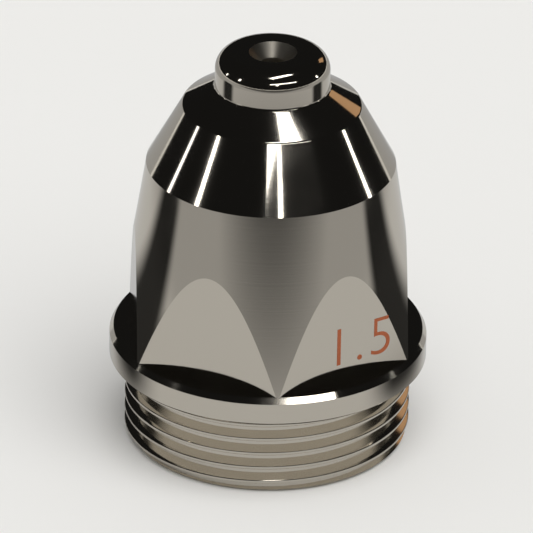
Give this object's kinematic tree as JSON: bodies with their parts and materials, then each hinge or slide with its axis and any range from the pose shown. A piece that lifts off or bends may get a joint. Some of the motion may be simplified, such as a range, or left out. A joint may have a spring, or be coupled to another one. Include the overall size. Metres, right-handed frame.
{
  "type": "plasma torch nozzle",
  "caption": "Tapered plasma cutting nozzle with a domed boss, a central orifice, milled spanner flats, a round flange and a threaded foot.",
  "frame": {"origin": "centre of the threaded end face, on the nozzle's axis", "axes": "+Z along the nozzle's axis towards the orifice, +X square to one of the spanner flats"},
  "size_m": [0.02, 0.02, 0.0264],
  "materials": {
    "nozzle": "bright nickel plate over turned copper"
  },
  "bodies": {
    "root": {"nozzle": "nozzle"}
  },
  "joints": []
}
